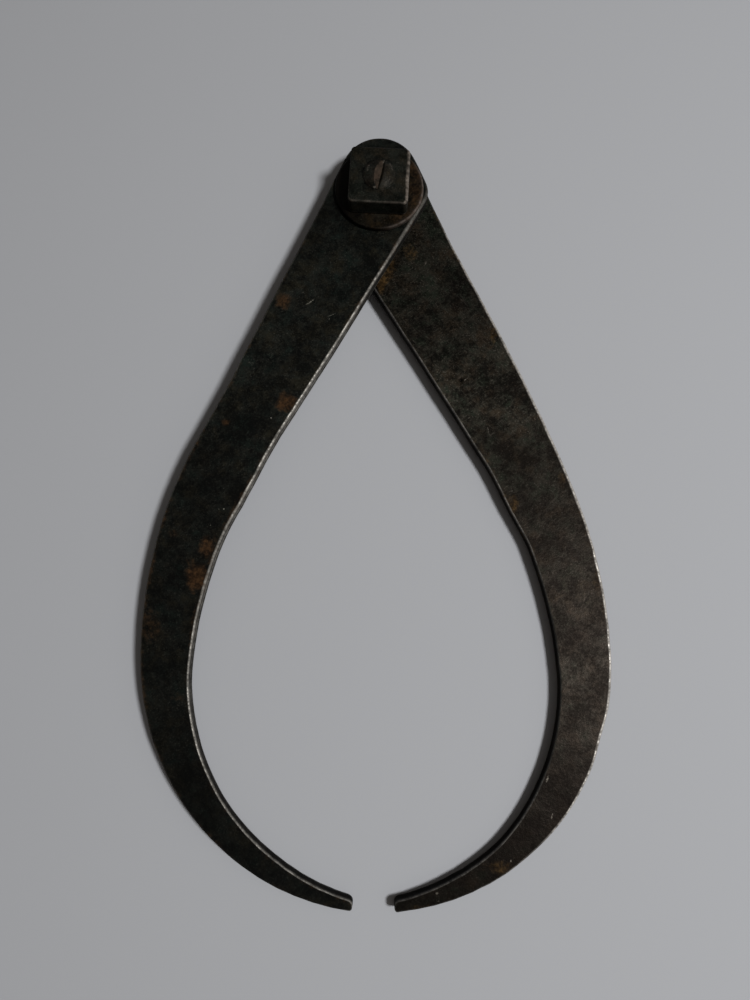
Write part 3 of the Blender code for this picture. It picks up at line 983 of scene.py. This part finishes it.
# Painted highlight: edges and walls that face the light, to the right and front, are made bright
nut_wear_and_highlight = np.maximum(NUT_RIGHT_BRIGHT * nut_right, NUT_FRONT_BRIGHT * nut_front) + NUT_LEAST_BRIGHT
nut_corner = unit(nut.normals @ NUT_CORNER_WAY * NUT_CORNER_GAIN - NUT_CORNER_START)
nut_flecks = NUT_FLECK_MEAN + NUT_FLECK_CHANGE * rough(nut.outline, 1.9, 27.0)
nut_wear_and_highlight = unit(nut_wear_and_highlight + NUT_CORNER_BRIGHT * nut_corner)
nut_wear_and_highlight = nut_wear_and_highlight * np.clip(nut_flecks, NUT_FLECK_LOW, NUT_FLECK_HIGH)
nut_edge = unit(RIM_REACH - nut.reach)
nut_worn_and_lit = np.where(nut.on_wall, NUT_WALL_BRIGHT * nut_right[nut.near], nut_edge * nut_wear_and_highlight[nut.near])
nut_rust = unit(NUT_RUST + NUT_RUST_CHANGE * rough(nut.places, 3.0, 29.0))
# Painted shade on the back edge, and on the walls
nut_back_shade = unit(nut.normals[:, 1])[nut.near] * nut_edge
nut.attribute("wear_and_highlight", nut_worn_and_lit * np.where(nut.lower, BACK_WEAR, 1))
nut.attribute("rust", nut_rust * np.where(nut.on_wall, NUT_WALL_RUST, 1))
nut.attribute("shade", np.where(nut.on_wall, NUT_WALL_SHADE, 1.0) * (1 - NUT_BACK_SHADE * nut_back_shade))
finish(nut_made, "square_nut", nut_steel)
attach(nut_made, "nut")


# Bolt: a domed end with a chisel groove, a plain shank, and a round head under the legs

BOLT_COUNT = 120
END_SPACING = 0.17
BASE_SPACING = 0.6
DISC_CLEAR = 0.6
HEAD_RADIUS = 10.0
HEAD_HEIGHT = 2.0
BASE_RADIUS = HEAD_RADIUS - 0.7
BASE_HOLLOW = 0.02
END_BASE = 20.64
END_DOME = 1.45
DOME_ROUGH = 0.05
DOME_FADE = 0.4
GROOVE_DEPTH = 1.60
GROOVE_FLOOR = END_BASE - 0.6
GROOVE_TURN = math.radians(-12)
GROOVE_LEFT_SLOPE = 0.85
GROOVE_RIGHT_SLOPE = 1.7
GROOVE_OFFSET = 0.45
GROOVE_ROUGH = 0.10
GROOVE_HIGHLIGHT, DOME_HIGHLIGHT = 0.55, 0.05
HIGHLIGHT_START, HIGHLIGHT_REACH = 1.2, 5.2
BOLT_FLECK_CHANGE = 0.9
BOLT_FLECK_LOW, BOLT_FLECK_HIGH = 0.3, 1.7
BOLT_RUST, BOLT_RUST_CHANGE = 0.15, 0.4
ON_RIM = 0.02

# Radius and height of the rings from the end down to the base
BOLT_PROFILE = (
    (BOLT_RADIUS, END_BASE - 0.4),
    (BOLT_RADIUS, HEAD_HEIGHT + 0.3),
    (BOLT_RADIUS + 0.2, HEAD_HEIGHT + 0.05),
    (HEAD_RADIUS - 0.3, HEAD_HEIGHT),
    (HEAD_RADIUS - 0.05, HEAD_HEIGHT - 0.15),
    (HEAD_RADIUS, HEAD_HEIGHT - 0.4),
    (HEAD_RADIUS, 0.75),
    (HEAD_RADIUS - 0.12, 0.35),
    (HEAD_RADIUS - 0.4, 0.08),
)


def disc(radius, spacing):
    """Points, triangles and rim indices of a filled circle."""
    ticks = np.arange(-radius, radius, spacing)
    grid = staggered(ticks, ticks, spacing)
    grid = grid[np.linalg.norm(grid, axis=1) < radius - DISC_CLEAR * spacing]
    points = np.vstack((circle(radius, BOLT_COUNT), grid))
    found, faces, index_of = triangulated(points, loop_edges(0, BOLT_COUNT))
    return found, faces, [index_of[i] for i in range(BOLT_COUNT)]


end_points, end_faces, end_rim = disc(BOLT_RADIUS, END_SPACING)
end_count = len(end_points)
from_axis = np.linalg.norm(end_points, axis=1)
dome_radius = (BOLT_RADIUS**2 + END_DOME**2) / (2 * END_DOME)
dome_rise = np.sqrt(dome_radius**2 - np.minimum(from_axis, BOLT_RADIUS) ** 2)
dome = END_BASE + END_DOME - dome_radius + dome_rise
dome = dome + DOME_ROUGH * rough(end_points, 2.2, 33.0) * unit((BOLT_RADIUS - from_axis) / DOME_FADE)
across_groove = np.array((math.cos(GROOVE_TURN), math.sin(GROOVE_TURN)))
sideways = end_points @ across_groove - GROOVE_OFFSET + GROOVE_ROUGH * rough(end_points, 1.4, 35.0)
slope = np.where(sideways < 0, GROOVE_LEFT_SLOPE, GROOVE_RIGHT_SLOPE)
groove = END_BASE + END_DOME - GROOVE_DEPTH + np.abs(sideways) * slope
grooved = np.maximum(np.minimum(dome, groove), GROOVE_FLOOR)
end_z = np.where(from_axis > BOLT_RADIUS - ON_RIM, dome, grooved)

base_points, base_faces, base_rim = disc(BASE_RADIUS, BASE_SPACING)
base_z = BASE_HOLLOW - BASE_HOLLOW * np.abs(rough(base_points, 3.0, 37.0))
base_z = np.where(np.linalg.norm(base_points, axis=1) > BASE_RADIUS - ON_RIM, 0.0, base_z)

bolt_places = [np.c_[end_points, end_z], np.c_[base_points, base_z]]
bolt_faces = end_faces + [tuple(end_count + i for i in reversed(face)) for face in base_faces]
total = end_count + len(base_points)
bolt_rings = [end_rim]
for radius, z in BOLT_PROFILE:
    bolt_places.append(np.c_[circle(radius, BOLT_COUNT), np.full(BOLT_COUNT, z)])
    bolt_rings.append(list(range(total, total + BOLT_COUNT)))
    total += BOLT_COUNT
bolt_rings.append([end_count + i for i in base_rim])
for above, below in zip(bolt_rings, bolt_rings[1:]):
    bolt_faces += [(above[i - 1], below[i - 1], below[i], above[i]) for i in range(BOLT_COUNT)]
bolt_places = np.vstack(bolt_places)
bolt_made = add_object("pivot_bolt_worn", bolt_places, bolt_faces)

# Painted highlight: the groove's side that faces the light and the middle of the dome are made bright
lit_side = (groove < dome) & (sideways < 0)
end_highlight = np.where(lit_side, GROOVE_HIGHLIGHT, DOME_HIGHLIGHT) * unit(HIGHLIGHT_START - from_axis / HIGHLIGHT_REACH)
end_flecks = 1 + BOLT_FLECK_CHANGE * rough(end_points, 0.9, 41.0)
bolt_highlight = np.zeros(len(bolt_places))
bolt_highlight[:end_count] = end_highlight * np.clip(end_flecks, BOLT_FLECK_LOW, BOLT_FLECK_HIGH)
add_attribute(bolt_made, "shade", np.ones(len(bolt_places)))
add_attribute(bolt_made, "wear_and_highlight", bolt_highlight)
add_attribute(bolt_made, "rust", unit(BOLT_RUST + BOLT_RUST_CHANGE * rough(bolt_places, 2.5, 39.0)))
finish(bolt_made, "pivot_bolt", bolt_steel)
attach(bolt_made, "lower_leg")


# Floor

FLOOR_COLOUR = (0.354, 0.366, 0.390)
FLOOR_ROUGHNESS = 0.9
FLOOR_SPECULAR = 0.1
FLOOR_HALF = 0.6
FLOOR_CORNERS = ((-1, -1), (1, -1), (1, 1), (-1, 1))
floor_mesh = bpy.data.meshes.new("floor")
floor_mesh.from_pydata([(FLOOR_HALF * x, FLOOR_HALF * y, 0) for x, y in FLOOR_CORNERS], [], [(0, 1, 2, 3)])
floor = bpy.data.objects.new("floor", floor_mesh)
bpy.context.scene.collection.objects.link(floor)
paper = bpy.data.materials.new("pale_floor")
paper.use_nodes = True
paper_shader = paper.node_tree.nodes["Principled BSDF"]
paper_shader.inputs["Base Color"].default_value = (*FLOOR_COLOUR, 1)
paper_shader.inputs["Roughness"].default_value = FLOOR_ROUGHNESS
paper_shader.inputs["Specular IOR Level"].default_value = FLOOR_SPECULAR
floor_mesh.materials.append(paper)


# World: a weak fill for the object, and a pale backdrop where the camera, gloss or glass sees it

FILL = (0.095, 0.084, 0.074)
BACKDROP = (0.30, 0.305, 0.32)
world = bpy.data.worlds.new("studio")
world.use_nodes = True
world_nodes = world.node_tree.nodes
world_links = world.node_tree.links
fill_light = world_nodes["Background"]
fill_light.inputs["Color"].default_value = (*FILL, 1)
backdrop = world_nodes.new("ShaderNodeBackground")
backdrop.inputs["Color"].default_value = (*BACKDROP, 1)
ray = world_nodes.new("ShaderNodeLightPath")
seen = ray.outputs["Is Camera Ray"]
for kind in ("Is Glossy Ray", "Is Transmission Ray"):
    either = world_nodes.new("ShaderNodeMath")
    either.operation = "MAXIMUM"
    world_links.new(seen, either.inputs[0])
    world_links.new(ray.outputs[kind], either.inputs[1])
    seen = either.outputs[0]
choice = world_nodes.new("ShaderNodeMixShader")
world_links.new(seen, choice.inputs[0])
world_links.new(fill_light.outputs[0], choice.inputs[1])
world_links.new(backdrop.outputs[0], choice.inputs[2])
world_links.new(choice.outputs[0], world_nodes["World Output"].inputs["Surface"])
bpy.context.scene.world = world


# Lamps: a small key, and a broad, weak light on the same side that fills the shadows,
# least of all close to the walls

LAMP_TARGET = Vector((0, -0.09, 0))
LAMP_DISTANCE = 1.0
LAMP_AZIMUTH = math.radians(-15)


def lamp(name, size, elevation, power, colour):
    level = math.cos(elevation)
    towards = Vector((
        level * math.cos(LAMP_AZIMUTH),
        level * math.sin(LAMP_AZIMUTH),
        math.sin(elevation),
    ))
    data = bpy.data.lights.new(name, "AREA")
    data.shape = "DISK"
    data.size = size
    data.energy = power
    data.color = colour
    made = bpy.data.objects.new(name, data)
    made.location = LAMP_TARGET + towards * LAMP_DISTANCE
    made.rotation_euler = towards.to_track_quat("Z", "Y").to_euler()
    bpy.context.scene.collection.objects.link(made)


lamp("key", size=0.15, elevation=math.radians(63), power=9.3, colour=(1.0, 0.99, 0.975))
lamp("soft", size=1.2, elevation=math.radians(58), power=1.2, colour=(1.0, 0.96, 0.91))


# Camera

CAMERA_PLACE = Vector((0.0016, -0.1306, 0.21846))
CAMERA_TILT = math.radians(10.0)
CAMERA_TURN = math.radians(3.24)
CAMERA_ROLL = math.radians(2.76)
CAMERA_LENS = 27.04
CAMERA_SENSOR = 36.0
CAMERA_NEAREST = 0.01
camera_data = bpy.data.cameras.new("camera")
camera_data.lens = CAMERA_LENS
camera_data.sensor_width = CAMERA_SENSOR
camera_data.clip_start = CAMERA_NEAREST
camera = bpy.data.objects.new("camera", camera_data)
camera.matrix_world = (
    Matrix.Translation(CAMERA_PLACE)
    @ Matrix.Rotation(CAMERA_TURN, 4, "Z")
    @ Matrix.Rotation(CAMERA_TILT, 4, "X")
    @ Matrix.Rotation(-CAMERA_ROLL, 4, "Z")
)
bpy.context.scene.collection.objects.link(camera)
bpy.context.scene.camera = camera
bpy.context.scene.view_settings.view_transform = "Standard"
